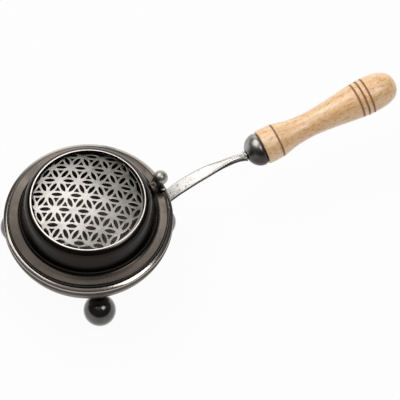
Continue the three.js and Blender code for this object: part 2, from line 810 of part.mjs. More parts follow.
// Sections set square to the strap's line, from a flat bar with eased edges to a round neck
function makeStrap() {
  const stations = strapStations();
  const sides = 16;
  const positions = [];
  const faces = [];
  stations.forEach(({ centre, width, thickness, square }, row) => {
    const before = stations[Math.max(row - 1, 0)].centre;
    const after = stations[Math.min(row + 1, stations.length - 1)].centre;
    const onAxis = row >= stations.length - 5;
    const slope = onAxis ? handleRise * degrees : after.clone().sub(before).angle();
    const upward = new THREE.Vector2(-Math.sin(slope), Math.cos(slope));
    const power = 1 - 0.62 * square;
    for (let i = 0; i < sides; i += 1) {
      const turn = (2 * Math.PI * (i + 0.5)) / sides;
      const [c, s] = [Math.cos(turn), Math.sin(turn)];
      const aside = (Math.sign(c) * Math.abs(c) ** power * width) / 2;
      const lift = (Math.sign(s) * Math.abs(s) ** power * thickness) / 2;
      positions.push(centre.x + upward.x * lift, aside, centre.y + upward.y * lift);
    }
    if (row === 0) return;
    for (let i = 0; i < sides; i += 1) {
      const next = (i + 1) % sides;
      const [low, high] = [(row - 1) * sides, row * sides];
      faces.push(low + i, low + next, high + i, high + i, low + next, high + next);
    }
  });
  const last = (stations.length - 1) * sides;
  for (let i = 1; i < sides - 1; i += 1) {
    faces.push(0, i + 1, i, last, last + i, last + i + 1);
  }
  const geometry = new THREE.BufferGeometry();
  geometry.setAttribute('position', new THREE.Float32BufferAttribute(positions, 3));
  geometry.setIndex(faces);
  const drills = rivetPlaces.map(([, azimuth]) => {
    const drill = bar(strapRivetRadius + seatGap, -cutOverrun, padThickness + cutOverrun);
    return drill.applyMatrix4(wallFrame(rivetAngle, azimuth));
  });
  return named('strap', cutAway(geometry, drills), brightSteel);
}

function makeStrapRivet(label, azimuth) {
  const low = -bowlWall - seatGap;
  const rivet = turned([
    [0, low - strapRivetHead],
    [strapRivetHeadRadius / 2, low - strapRivetHead],
    [strapRivetHeadRadius, low - strapRivetHead / 3],
    [strapRivetHeadRadius, low],
    [strapRivetRadius, low],
    [strapRivetRadius, seatGap + padThickness],
    [0, seatGap + padThickness],
  ], smallSteps);
  const mesh = named(`strap_rivet_${label}`, rivet, satinSteel);
  mesh.applyMatrix4(wallFrame(rivetAngle, azimuth));
  return mesh;
}

// Pieces turned about the grip's axis share a group whose +Z runs out along that axis.
function onGripAxis(meshes) {
  const group = new THREE.Group();
  const origin = axisPoint(0);
  group.position.set(origin.x, 0, origin.y);
  group.rotation.y = (90 - handleRise) * degrees;
  group.add(...meshes);
  return group;
}

function makeFerrule() {
  const waist = -ferruleDepth * ferruleWaistShare;
  const boreRadius = tangRadius + seatGap;
  const steps = 6;
  const dome = (inset) => {
    const radius = ferruleRadius - inset;
    const depth = ferruleDepth + waist - inset;
    const start = Math.asin(boreRadius / radius);
    const points = [];
    for (let i = 0; i <= steps; i += 1) {
      const turn = start + ((Math.PI / 2 - start) * i) / steps;
      points.push([radius * Math.sin(turn), waist - depth * Math.cos(turn)]);
    }
    return points;
  };
  const outside = dome(0);
  const profile = [
    ...outside,
    [ferruleMouthRadius, -seatGap],
    [ferruleMouthRadius - ferruleWall, -seatGap],
    ...dome(ferruleWall).reverse(),
    outside[0],
  ];
  return named('ferrule', turned(profile, gripSteps), satinSteel);
}

function makeGrip() {
  const boreRadius = tangRadius + seatGap;
  const boreEnd = tangLength + 2 * seatGap;
  const curve = new THREE.SplineCurve(gripShares.map(
    ([along, wide]) => new THREE.Vector2(along * gripLength, wide * gripRadius),
  ));
  const outline = curve.getPoints(gripRows).map((point) => [Math.max(point.y, 0), point.x]);
  const profile = [
    [0, boreEnd],
    [boreRadius, boreEnd],
    [boreRadius, -gripSpigotLength],
    [gripSpigotRadius, -gripSpigotLength],
    [gripSpigotRadius, 0],
  ];
  const grooves = grooveShares.map((share) => share * gripLength);
  const clear = outline.filter(([, along]) => grooves.every(
    (groove) => Math.abs(along - groove) > 2 * grooveHalfWidth,
  ));
  const radiusAt = (along) => {
    const index = outline.findIndex(([, place]) => place >= along);
    const [[lowRadius, low], [highRadius, high]] = [outline[index - 1], outline[index]];
    return lowRadius + ((highRadius - lowRadius) * (along - low)) / (high - low);
  };
  for (const groove of grooves) {
    const cuts = [[-grooveHalfWidth, 0], [0, grooveDepth], [grooveHalfWidth, 0]];
    for (const [offset, depth] of cuts) {
      clear.push([radiusAt(groove + offset) - depth, groove + offset]);
    }
  }
  clear.sort((first, second) => first[1] - second[1]);
  return named('wooden_grip', turned([...profile, ...clear], gripSteps), paleWood);
}

const censer = new THREE.Group();
censer.add(makeBowl());
['under_handle', 'rear', 'front'].forEach((label, index) => {
  censer.add(...makeFoot(label, footAzimuths[index]));
});
censer.add(makeCover(), makeGrille());
['near_hinge', 'rear', 'front'].forEach((label, index) => {
  censer.add(makeLug(label, lugAzimuths[index]));
});
censer.add(makeHingeBracket(), makeHingePin(), makeHingeLeaf(), makeThumbBall());
leafRivetPlaces.forEach(([label, sideways]) => censer.add(makeLeafRivet(label, sideways)));
censer.add(makeStrap());
rivetPlaces.forEach(([label, azimuth]) => censer.add(makeStrapRivet(label, azimuth)));
censer.add(onGripAxis([makeFerrule(), makeGrip()]));

export default censer;
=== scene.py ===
import bmesh
import bpy
from math import acos, asin, atan2, cos, degrees, hypot, pi, radians, sin, sqrt, tan
from mathutils import Matrix, Vector


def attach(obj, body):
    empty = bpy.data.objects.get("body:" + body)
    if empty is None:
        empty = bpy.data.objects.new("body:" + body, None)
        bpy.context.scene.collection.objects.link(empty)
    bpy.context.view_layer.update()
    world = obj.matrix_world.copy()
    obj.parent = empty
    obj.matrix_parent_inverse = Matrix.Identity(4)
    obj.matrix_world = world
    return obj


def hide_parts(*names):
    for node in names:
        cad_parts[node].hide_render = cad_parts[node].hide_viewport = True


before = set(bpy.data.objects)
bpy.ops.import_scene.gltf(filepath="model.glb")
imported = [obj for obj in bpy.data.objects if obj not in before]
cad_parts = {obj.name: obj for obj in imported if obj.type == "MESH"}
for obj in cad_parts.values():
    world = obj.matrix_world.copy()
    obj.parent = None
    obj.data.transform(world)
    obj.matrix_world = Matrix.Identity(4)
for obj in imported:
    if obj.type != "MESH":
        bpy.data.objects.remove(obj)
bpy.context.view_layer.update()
mm = 0.001  # sizes below are in mm unless a note says otherwise
print("frame loaded,", len(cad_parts), "solids")

handleBody, coverBody = "bowl_and_handle", "hinged_cover"


class Wire:  # a socket that takes part in expressions
    def __init__(self, nodes, socket):
        self.nodes = nodes
        self.socket = socket

    def __add__(self, other):
        return self.nodes.maths("ADD", self, other)

    __radd__ = __add__

    def __sub__(self, other):
        return self.nodes.maths("SUBTRACT", self, other)

    def __rsub__(self, other):
        return self.nodes.maths("SUBTRACT", other, self)

    def __mul__(self, other):
        return self.nodes.maths("MULTIPLY", self, other)

    __rmul__ = __mul__

    def __truediv__(self, other):
        return self.nodes.maths("DIVIDE", self, other)

    def __pow__(self, other):
        return self.nodes.maths("POWER", self, other)

    def __abs__(self):
        return self.nodes.maths("ABSOLUTE", self)


class Nodes:  # the node tree of a material or of the world
    def __init__(self, holder):
        holder.use_nodes = True
        self.holder = holder
        self.tree = holder.node_tree
        self.tree.nodes.clear()

    def node(self, kind, settings=None, inputs=None, output=0):
        made = self.tree.nodes.new(kind)
        for name, value in (settings or {}).items():
            setattr(made, name, value)
        for name, value in (inputs or {}).items():
            socket = made.inputs[name]
            if isinstance(value, Wire):
                self.tree.links.new(value.socket, socket)
            elif socket.type == "RGBA":
                socket.default_value = (*value, 1)
            else:
                socket.default_value = value
        return Wire(self, made.outputs[output]) if made.outputs else made

    def maths(self, operation, *values):
        return self.node("ShaderNodeMath", {"operation": operation}, dict(enumerate(values)))

    def greatest(self, first, *others):
        for other in others:
            first = self.maths("MAXIMUM", first, other)
        return first

    def varied(self, value, *changes):  # a change is a noise and how far it moves the value
        for noise, reach in changes:
            value = value + (noise - 0.5) * reach
        return value

    def mixed(self, share, first, second):
        return self.node("ShaderNodeMix", {"data_type": "RGBA"}, {0: share, 6: first, 7: second}, 2)

    def mottled(self, cloud, look):  # between a look's two tones
        return self.mixed(self.fade(cloud, *look["cloudFade"]), look["dark"], look["light"])

    def fade(self, value, low, high):  # 0 at low, 1 at high, soft between
        return self.node("ShaderNodeMapRange", {"interpolation_type": "SMOOTHSTEP"},
                         {"Value": value, "From Min": low, "From Max": high})

    def fadeAlong(self, length, low, high):  # the same between two lengths in mm
        return self.fade(length, low * mm, high * mm)

    def place(self, centre=(0, 0, 0), turn=(0, 0, 0)):  # the point in a piece's own axes
        point = self.node("ShaderNodeTexCoord", output="Object")
        return self.node("ShaderNodeMapping", {"vector_type": "TEXTURE"},
                         {"Vector": point, "Location": centre, "Rotation": turn})

    def split(self, point):
        cut = self.node("ShaderNodeSeparateXYZ", inputs={0: point}).socket.node
        return [Wire(self, cut.outputs[i]) for i in range(3)]

    def combined(self, x, y, z):
        return self.node("ShaderNodeCombineXYZ", inputs={0: x, 1: y, 2: z})

    def noise(self, point, scale, detail, roughness):
        return self.node("ShaderNodeTexNoise", inputs={
            "Vector": point, "Scale": scale, "Detail": detail, "Roughness": roughness})

    def turningMarks(self, x, y, across, lines, spread):  # fine rings left by the lathe
        wide = across + mm  # never zero
        return self.noise(self.combined(x / wide * spread, y / wide * spread, lines), 1, 2, 0.5)

    def surface(self, colour, rough, height, bump, others):  # bump: strength, depth in mm
        strength, depth = bump
        normal = self.node("ShaderNodeBump", inputs={
            "Strength": strength, "Distance": depth * mm, "Height": height})
        shader = self.node("ShaderNodeBsdfPrincipled", inputs={
            "Base Color": colour, "Roughness": rough, "Normal": normal, **others})
        self.node("ShaderNodeOutputMaterial", inputs={"Surface": shader})
        return self.holder


def newNodes(name):
    return Nodes(bpy.data.materials.new(name))


def arc(across, up, radius, start, end, steps):
    turns = [radians(start + (end - start) * i / steps) for i in range(steps + 1)]
    return [(across + radius * cos(turn), up + radius * sin(turn)) for turn in turns]


def domed(radius, foot, height, shares):  # a rounded end, by shares of its radius and height
    return [(radius * across, foot + height * up) for across, up in shares]


def curved(rows, k, t):  # the Catmull-Rom curve through the rows, t of the way past row k
    four = [rows[max(0, min(len(rows) - 1, k + step))] for step in (-1, 0, 1, 2)]
    return [((2 * b) + (c - a) * t + (2 * a - 5 * b + 4 * c - d) * t ** 2
             + (3 * b - a - 3 * c + d) * t ** 3) / 2 for a, b, c, d in zip(*four)]


def welded(mesh, gap=0.002):
    bmesh.ops.remove_doubles(mesh, verts=mesh.verts[:], dist=gap * mm)


def planeCut(mesh, place, normal, near=0.001, clear=False):
    return bmesh.ops.bisect_plane(mesh, geom=mesh.verts[:] + mesh.edges[:] + mesh.faces[:],
                                  dist=near * mm, plane_co=place, plane_no=normal, clear_outer=clear)


def spun(profile, steps, loop=False):  # (radius, height) points in mm, turned about Z
    mesh = bmesh.new()
    corners = [mesh.verts.new((across * mm, 0, up * mm)) for across, up in profile]
    pairs = list(zip(corners, corners[1:]))
    if loop:
        pairs.append((corners[-1], corners[0]))
    edges = [mesh.edges.new(pair) for pair in pairs]
    bmesh.ops.spin(mesh, geom=corners + edges, cent=(0, 0, 0), axis=(0, 0, 1),
                   angle=2 * pi, steps=steps, use_merge=True)
    welded(mesh)
    bmesh.ops.recalc_face_normals(mesh, faces=mesh.faces[:])
    return mesh


def ballMesh(radius, segments, matrix):
    mesh = bmesh.new()
    bmesh.ops.create_uvsphere(mesh, u_segments=segments[0], v_segments=segments[1],
                              radius=radius * mm, matrix=matrix)
    return mesh


def moved(mesh, matrix):
    bmesh.ops.transform(mesh, matrix=matrix, verts=mesh.verts[:])
    return mesh


def slide(x, y, z):
    return Matrix.Translation(Vector((x, y, z)) * mm)


def meshData(name, mesh, finish):
    shape = bpy.data.meshes.new(name)
    mesh.to_mesh(shape)
    mesh.free()
    shape.materials.append(finish)
    return shape


def added(name, data):  # an object in the scene
    item = bpy.data.objects.new(name, data)
    bpy.context.scene.collection.objects.link(item)
    return item


def finished(name, mesh, finish, body, nodes, sharp=32):
    shape = meshData(name, mesh, finish)
    shape.shade_smooth()
    shape.set_sharp_from_angle(angle=radians(sharp))
    piece = added(name, shape)
    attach(piece, body)
    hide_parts(*nodes)
    return piece


def easeEdges(piece, width, angle=40, segments=2):
    ease = piece.modifiers.new("easedEdges", "BEVEL")
    ease.width = width * mm
    ease.segments = segments
    ease.limit_method = "ANGLE"
    ease.angle_limit = radians(angle)


def softened(name, node, finish, body, width):  # a dark solid with its edges eased
    mesh = bmesh.new()
    mesh.from_mesh(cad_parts[node].data)
    welded(mesh)
    bmesh.ops.dissolve_limit(mesh, angle_limit=radians(1), verts=mesh.verts[:], edges=mesh.edges[:])
    easeEdges(finished(name, mesh, finish, body, [node]), width)


# in all finishes a noise is scale, detail and roughness, and a fade its low and high end
blackened = {
    # deep is the colour of painted shade; the other tones are the steel's own
    "deep": (0.020, 0.017, 0.015), "dark": (0.080, 0.069, 0.059), "light": (0.150, 0.125, 0.102),
    "bare": (0.52, 0.475, 0.435), "cloud": (45, 4, 0.6), "speckle": (1400, 2, 0.5),
    "cloudFade": (0.35, 0.7), "bareFade": (0.30, 0.55), "bareSpeckle": 0.3,
    "roughness": 0.29, "cloudRough": 0.16, "speckleRough": 0.12, "lineRough": 0.14, "bareSmooth": 0.12,
    "spinLines": 1500, "lineSlant": 0.8, "lineSpread": 3, "heightShare": 0.5, "bump": (0.25, 0.05),
}


def blackenedSteel(name, paintedShade=None, bare=None, lines=True, satin=0):
    nodes = newNodes(name)
    point = nodes.place()
    x, y, z = nodes.split(point)
    across = (x * x + y * y) ** 0.5
    cloud = nodes.noise(point, *blackened["cloud"])
    speckle = nodes.noise(point, *blackened["speckle"])
    colour = nodes.mottled(cloud, blackened)
    rough = nodes.varied(blackened["roughness"] + satin, (cloud, blackened["cloudRough"]),
                         (speckle, blackened["speckleRough"]))
    height = speckle * blackened["heightShare"]
    if paintedShade:  # gives the share that isn't painted shade in deep black
        colour = nodes.mixed(paintedShade(nodes, across, z), blackened["deep"], colour)
    if lines:
        along = (across * blackened["lineSlant"] + z) * blackened["spinLines"]
        turning = nodes.turningMarks(x, y, across, along, blackened["lineSpread"])
        rough = nodes.varied(rough, (turning, blackened["lineRough"]))
        height = height + turning * blackened["heightShare"]
    if bare:  # gives the shares of bare steel and of smoothing
        share, smooth = bare(nodes, across, z)
        patchy = nodes.fade(cloud + speckle * blackened["bareSpeckle"], *blackened["bareFade"])
        colour = nodes.mixed(share * patchy, colour, blackened["bare"])
        rough = rough - smooth * (blackened["bareSmooth"] + satin)
    return nodes.surface(colour, rough, height, blackened["bump"], {"Metallic": 1})


fittings = {
    "base": (0.58, 0.57, 0.55), "darkShare": 0.72, "cloud": (140, 3, 0.6), "grain": (1800, 2, 0.5),
    "cloudFade": (0.3, 0.65), "roughness": 0.3, "grainRough": 0.2, "cloudRough": 0.12,
    "bump": (0.2, 0.03),
}


def satinSteel(name, base=fittings["base"], roughness=fittings["roughness"]):
    nodes = newNodes(name)
    point = nodes.place()
    cloud = nodes.noise(point, *fittings["cloud"])
    grain = nodes.noise(point, *fittings["grain"])
    dark = tuple(part * fittings["darkShare"] for part in base)
    colour = nodes.mixed(nodes.fade(cloud, *fittings["cloudFade"]), dark, base)
    rough = nodes.varied(roughness, (grain, fittings["grainRough"]), (cloud, fittings["cloudRough"]))
    return nodes.surface(colour, rough, grain, fittings["bump"], {"Metallic": 1})


bowl = {
    "radius": 51.2, "depth": 34.2, "wall": 1.2, "baseRadius": 6, "topAngle": 6,
    "beadRadius": 1.7, "beadCircle": 49.2, "beadArc": (-45, 225, 44), "groove": (50.0, 32.3),
    "beadFlat": 1.36, "flatLean": 65, "flatShare": 0.85,
    "bareHeight": (32.8, 33.8), "bareRadius": (47.5, 48.5), "bareShare": 0.66, "satin": 0.11,
    "wallSteps": 36, "steps": 160,
}


def wallPoint(angle, inset=0):
    turn = radians(angle)
    return (bowl["baseRadius"] + (bowl["radius"] - bowl["baseRadius"] - inset) * cos(turn),
            bowl["depth"] - (bowl["depth"] - inset) * sin(turn))


def wallNormal(angle):
    across = bowl["depth"] * cos(radians(angle))
    down = (bowl["radius"] - bowl["baseRadius"]) * sin(radians(angle))
    return across / hypot(across, down), -down / hypot(across, down)


def wallFrame(angle, azimuth):  # +Z points out of the bowl, +X runs round it
    (across, up), (outX, outZ) = wallPoint(angle), wallNormal(angle)
    outward, around = Vector((outX, 0, outZ)), Vector((0, 1, 0))
    seat = Matrix((around, outward.cross(around), outward)).transposed().to_4x4()
    seat.translation = Vector((across, 0, up)) * mm
    return Matrix.Rotation(radians(azimuth), 4, "Z") @ seat


def beadBare(nodes, across, z):
    bead = nodes.fadeAlong(z, *bowl["bareHeight"]) * nodes.fadeAlong(across, *bowl["bareRadius"])
    return bead * bowl["bareShare"], bead


def wallLine(inset):
    steps, top = bowl["wallSteps"], bowl["topAngle"]
    return [wallPoint(90 - (90 - top) * i / steps, inset) for i in range(steps + 1)]


def beadLine():  # a rolled bead, its top dressed to a slightly crowned band
    middle, level = bowl["beadCircle"], bowl["depth"]
    leanX, leanZ = cos(radians(bowl["flatLean"])), sin(radians(bowl["flatLean"]))
    points = []
    for across, up in arc(middle, level, bowl["beadRadius"], *bowl["beadArc"]):
        proud = (across - middle) * leanX + (up - level) * leanZ - bowl["beadFlat"]
        down = max(0, proud) * bowl["flatShare"]
        points.append((across - down * leanX, up - down * leanZ))
    return points


def makeBowl():
    profile = [(0, 0), *wallLine(0), bowl["groove"], *beadLine(),
               *reversed(wallLine(bowl["wall"])), (0, bowl["wall"])]
    finish = blackenedSteel("blackenedBowl", bare=beadBare, satin=bowl["satin"])
    finished("spunBowl", spun(profile, bowl["steps"]), finish, handleBody, ["bowl"])


makeBowl()
print("bowl made")

cover = {
    "sheet": 1.1, "lipHeight": 56.7, "lipOpening": 33.7, "lipWidth": 0.6, "lipTilt": 20,
    "shoulder": 5.55, "shoulderEnd": 10, "shoulderSteps": 18,
    "collarFoot": 40.1, "fillet": 3.2, "filletArc": (190, 270, 14),
    "brim": 48.2, "brimTop": 38.1, "hem": 2.2, "bend": 1.2, "bendArc": (90, 0, 6),
    "notchInner": 45.15, "notchHalf": 5.6, "weld": 0.06, "weldWay": (1, 1.7, 2.3),
    "eased": (0.35, 50, 3), "steps": 180,
    # painted shade and wear, by heights and radii
    "satin": -0.06, "brimUnshaded": (39, 44), "brimLeast": 0.2, "brimMore": 0.6,
    "shadeWay": (0.7, 0.7), "shadeSide": (-36, 10), "topUnshaded": (54.5, 56.4), "topShare": 0.16,
    "lipHigh": (56.0, 56.4), "lipWide": (34.3, 34.6), "lipShare": 0.8,
    "shoulderHigh": (54.0, 55.6), "shoulderShare": 0.04,
}


def coverShade(nodes, across, z):  # painted shade: the collar deep black, the brim lighter outward and darkest at the front left
    x, y = nodes.split(nodes.place())[:2]
    right, back = cover["shadeWay"]
    side = nodes.fadeAlong(x * right + y * back, *cover["shadeSide"])
    brim = nodes.fadeAlong(across, *cover["brimUnshaded"]) * (cover["brimLeast"] + cover["brimMore"] * side)
    return nodes.greatest(brim, nodes.fadeAlong(z, *cover["topUnshaded"]) * cover["topShare"])


def lipBare(nodes, across, z):
    lip = nodes.fadeAlong(z, *cover["lipHigh"]) * (1 - nodes.fadeAlong(across, *cover["lipWide"]))
    shoulder = nodes.fadeAlong(z, *cover["shoulderHigh"])
    return nodes.greatest(lip * cover["lipShare"], shoulder * cover["shoulderShare"]), shoulder


def coverProfile():  # the sheet's outer side, from the lip to the hem
    top, brimTop, bend = cover["lipHeight"], cover["brimTop"], cover["bend"]
    first = 90 - cover["lipTilt"]
    middle = (cover["lipOpening"] + cover["lipWidth"] - cover["shoulder"] * cos(radians(first)),
              top - cover["shoulder"] * sin(radians(first)))
    return [(cover["lipOpening"], top),
            *arc(*middle, cover["shoulder"], first, cover["shoulderEnd"], cover["shoulderSteps"]),
            *arc(cover["collarFoot"] + cover["fillet"], brimTop + cover["fillet"],
                 cover["fillet"], *cover["filletArc"]),
            *arc(cover["brim"] - bend, brimTop - bend, bend, *cover["bendArc"]),
            (cover["brim"], brimTop - cover["hem"])]


def makeCover():
    mesh = spun(coverProfile(), cover["steps"])
    planeCut(mesh, Vector((cover["notchInner"], 0, 0)) * mm, (1, 0, 0))
    for side in (1, -1):
        planeCut(mesh, Vector((0, side * cover["notchHalf"], 0)) * mm, (0, 1, 0))
    notch = []
    for face in mesh.faces:
        middle = face.calc_center_median() / mm
        if middle.x > cover["notchInner"] and abs(middle.y) < cover["notchHalf"]:
            notch.append(face)
    bmesh.ops.delete(mesh, geom=notch, context="FACES")
    mesh.verts.sort(key=lambda corner: corner.co.dot(cover["weldWay"]))  # each run merges alike
    welded(mesh, cover["weld"])
    finish = blackenedSteel("blackenedCover", coverShade, lipBare, satin=cover["satin"])
    piece = finished("spunCover", mesh, finish, coverBody, ["cover"], sharp=50)
    sheet = piece.modifiers.new("sheet", "SOLIDIFY")
    sheet.thickness = cover["sheet"] * mm
    sheet.offset = -1
    sheet.use_even_offset = True
    easeEdges(piece, *cover["eased"])


makeCover()
print("cover made")

grille = {
    "radius": 35.1, "ring": 1.6, "sheet": 0.9, "ease": 0.16, "sag": 5.6, "bottom": 52.7,
    "shift": 1.55, "shiftAzimuth": 132, "turn": 27.3, "outlineSteps": 144, "weld": 0.001,
    "cutEvery": 3.0, "cutStart": 0.37, "cutNear": 0.0005, "lobes": 3,  # lobes from middle to ring
    # the holes, their lengths in shares of the lattice's pitch
    "leafLength": 0.55, "leafWidth": 0.195, "leafBlunt": 0.25, "leafSides": 24,
    "triangleReach": 0.135, "triangleWaist": 0.075, "triangleBlunt": 0.16,
    "stripHalf": 0.06, "bridgeHalf": 0.035, "rimTrim": 0.01, "rimStart": 0.1, "rimSteps": 8,
}
pitch = (grille["radius"] - grille["ring"] / 2) / grille["lobes"]


def latticePoint(along, up):
    return Vector((along + up / 2, up * sqrt(3) / 2)) * pitch


def inLattice(along, up):
    return max(abs(along), abs(up), abs(along + up)) <= grille["lobes"]


def turnedPoint(point, angle):
    return Vector((point.x * cos(angle) - point.y * sin(angle),
                   point.x * sin(angle) + point.y * cos(angle)))


def leafHole(start, end):
    middle, way = (start + end) / 2, end - start
    angle, points = atan2(way.y, way.x), []
    for i in range(grille["leafSides"]):
        turn = 2 * pi * i / grille["leafSides"]
        along = grille["leafLength"] * pitch * cos(turn) / 2
        aside = grille["leafWidth"] * pitch * sin(turn) * abs(sin(turn)) ** grille["leafBlunt"] / 2
        points.append(turnedPoint(Vector((along, aside)), angle) + middle)
    return points


def triangleHole(middle, angle):
    corner = [(-grille["triangleBlunt"], "triangleReach"), (grille["triangleBlunt"], "triangleReach"),
              (pi / 3, "triangleWaist")]
    points = []
    for i in range(3):
        for offset, reach in corner:
            turn = angle + 2 * pi * i / 3 + offset
            points.append(Vector((cos(turn), sin(turn))) * grille[reach] * pitch + middle)
    return points


def arcBetween(centre, radius, start, end, steps):
    turns = [start + (end - start) * i / steps for i in range(steps + 1)]
    return [centre + Vector((cos(turn), sin(turn))) * radius for turn in turns]


def rimHole(lobeAngle, side):  # between the ring and two lobes, left or right of a bridge
    arcRadius = (1 + grille["stripHalf"]) * pitch
    ringInner = grille["radius"] - grille["ring"]
    bridge, steps = grille["bridgeHalf"] * pitch, grille["rimSteps"]
    lobe, bigLobe = Vector((sqrt(3) * pitch, 0)), turnedPoint(Vector((2 * pitch, 0)), pi / 6)
    ringStart = asin(bridge / ringInner)
    square = ringInner ** 2 + bigLobe.length_squared - arcRadius ** 2
    ringEnd = pi / 6 - acos(square / (2 * ringInner * bigLobe.length))
    points = arcBetween(Vector((0, 0)), ringInner, ringStart, ringEnd - grille["rimTrim"], steps)
    notch = bigLobe - lobe
    reach = sqrt(arcRadius ** 2 - (notch.length / 2) ** 2)
    notchPoint = (lobe + bigLobe) / 2 + Vector((notch.y, -notch.x)).normalized() * reach
    fromBig = points[-1] - bigLobe
    start, end = atan2(fromBig.y, fromBig.x), atan2(*reversed(notchPoint - bigLobe))
    end = start + (end - start + 3 * pi) % (2 * pi) - pi
    start += (end - start) * grille["rimStart"]
    points += arcBetween(bigLobe, arcRadius, start, end, steps)[:-1]
    start, end = atan2(*reversed(notchPoint - lobe)), asin(bridge / arcRadius)
    points += arcBetween(lobe, arcRadius, start, end, steps)
    placed = [turnedPoint(Vector((point.x, point.y * side)), lobeAngle) for point in points]
    return placed if side > 0 else placed[::-1]


def latticeHoles():
    steps = [(1, 0), (0, 1), (-1, 1)]
    reach, holes = range(-grille["lobes"], grille["lobes"] + 1), []
    for along in reach:
        for up in reach:
            if not inLattice(along, up):
                continue
            here = latticePoint(along, up)
            near = [(along + a, up + b) for a, b in steps]
            for other in near:
                if inLattice(*other):
                    holes.append(leafHole(here, latticePoint(*other)))
            for first, second, angle in [(near[0], near[1], pi / 2), (near[1], near[2], -pi / 2)]:
                if inLattice(*first) and inLattice(*second):
                    middle = (here + latticePoint(*first) + latticePoint(*second)) / 3
                    holes.append(triangleHole(middle, angle))
    for sector in range(6):
        for side in (1, -1):
            holes.append(rimHole(pi / 3 * (sector + 0.5), side))
    return holes


def flatPlate(outline, holes):  # a plate with eased edges from flat outlines
    plate = bpy.data.curves.new("plateOutline", "CURVE")
    plate.dimensions = "2D"
    plate.fill_mode = "BOTH"
    plate.extrude = (grille["sheet"] / 2 - grille["ease"]) * mm
    plate.bevel_depth = grille["ease"] * mm
    plate.bevel_resolution = 1
    plate.offset = -grille["ease"] * mm
    for loop in [outline] + [hole[::-1] for hole in holes]:
        line = plate.splines.new("POLY")
        line.points.add(len(loop) - 1)
        for corner, point in zip(line.points, loop):
            corner.co = (point[0] * mm, point[1] * mm, 0, 1)
        line.use_cyclic_u = True
    holder = added("plateOutline", plate)
    bpy.context.view_layer.update()
    flat = bpy.data.meshes.new_from_object(holder.evaluated_get(bpy.context.evaluated_depsgraph_get()))
    mesh = bmesh.new()
    mesh.from_mesh(flat)
    bpy.data.objects.remove(holder)
    bpy.data.curves.remove(plate)
    bpy.data.meshes.remove(flat)
    welded(mesh, grille["weld"])
    return mesh


brushed = {
    "dark": (0.27, 0.257, 0.234), "light": (0.39, 0.373, 0.344), "cloud": (60, 3, 0.6),
    "patch": (260, 3, 0.6), "lines": (2200, 2, 0.5), "stretch": 0.06,
    "cloudFade": (0.30, 0.62), "patchShare": 0.5, "roughness": 0.36, "lineRough": 0.25,
    "patchRough": 0.2, "heightShare": 0.6, "bump": (0.35, 0.06),
}


def brushedGrille():
    nodes = newNodes("brushedGrille")
    point = nodes.place((0, 0, 0), (0, 0, radians(grille["turn"])))
    x, y, z = nodes.split(point)
    cloud = nodes.noise(point, *brushed["cloud"])
    lines = nodes.noise(nodes.combined(x * brushed["stretch"], y, z), *brushed["lines"])
    patch = nodes.noise(point, *brushed["patch"])
    colour = nodes.mottled(nodes.varied(cloud, (patch, brushed["patchShare"])), brushed)
    rough = nodes.varied(brushed["roughness"], (lines, brushed["lineRough"]),
                         (patch, brushed["patchRough"]))
    height = lines * brushed["heightShare"] + patch * brushed["heightShare"]
    return nodes.surface(colour, rough, height, brushed["bump"], {"Metallic": 1})


def makeGrille():
    around = arc(0, 0, grille["radius"], 0, 360, grille["outlineSteps"])
    mesh = flatPlate([Vector(point) for point in around[:-1]], latticeHoles())
    count = int(grille["radius"] // grille["cutEvery"])
    for axis in ((1, 0, 0), (0, 1, 0)):  # cut fine enough to bend
        for i in range(-count, count + 1):
            place = Vector(axis) * (i + grille["cutStart"]) * grille["cutEvery"] * mm
            planeCut(mesh, place, axis, grille["cutNear"])
    for corner in mesh.verts:
        share = corner.co.xy.length / (grille["radius"] * mm)
        corner.co.z += (grille["sheet"] / 2 + grille["sag"] * (1 - share * share)) * mm
    towards = radians(grille["shiftAzimuth"])
    seat = slide(grille["shift"] * cos(towards), grille["shift"] * sin(towards), grille["bottom"])
    moved(mesh, seat @ Matrix.Rotation(radians(grille["turn"]), 4, "Z"))
    finished("latticeGrille", mesh, brushedGrille(), coverBody, ["grille"], sharp=20)


makeGrille()
print("grille made")

feet = {
    "ball": 9.84, "ballSegments": (72, 44), "seatAngle": 43.4, "stand": 8, "seatFlat": 0.5, "gap": 0.3,
    "azimuths": {"under_handle": -6.6, "rear": 139.8, "front": -107.2},
    "spacer": 3.4, "spacerThick": 1.5924, "spacerEdge": 0.3, "spacerWaist": 0.25, "spacerSteps": 40,
    "screw": 1.5, "screwDepth": 6, "head": 2.7, "headHeight": 1.4, "headRound": 0.9,
    "slot": 0.9, "slotMouth": 1.1, "slotDepth": 0.5, "screwSteps": 32,
}
glossy = {
    "dark": (0.050, 0.044, 0.040), "light": (0.086, 0.076, 0.069), "cloud": (90, 3, 0.6),
    "grain": (900, 2, 0.5), "cloudFade": (0.35, 0.7), "roughness": 0.20, "cloudRough": 0.12,
    "grainRough": 0.08, "bump": (0.12, 0.03), "metallic": 0.9, "coat": 1.0, "coatRough": 0.12,
}


def glossyBlack():
    nodes = newNodes("glossyBlackBall")
    point = nodes.place()
    cloud = nodes.noise(point, *glossy["cloud"])
    grain = nodes.noise(point, *glossy["grain"])
    colour = nodes.mottled(cloud, glossy)
    rough = nodes.varied(glossy["roughness"], (cloud, glossy["cloudRough"]),
                         (grain, glossy["grainRough"]))
    return nodes.surface(colour, rough, grain, glossy["bump"], {
        "Metallic": glossy["metallic"], "Coat Weight": glossy["coat"],
        "Coat Roughness": glossy["coatRough"]})


def flatCut(mesh, place, normal):  # takes off what lies beyond and closes the cut
    cut = planeCut(mesh, place, normal, clear=True)
    edges = [part for part in cut["geom_cut"] if isinstance(part, bmesh.types.BMEdge)]
    bmesh.ops.contextual_create(mesh, geom=edges)


def spacerProfile(low, high):
    edge, wide = feet["spacerEdge"], feet["spacer"]
    inner = feet["screw"] + feet["gap"]
    return [(inner, low), (wide - edge, low), (wide, low + edge),
            (wide - feet["spacerWaist"], (low + high) / 2),
            (wide, high - edge), (wide - edge, high), (inner, high)]


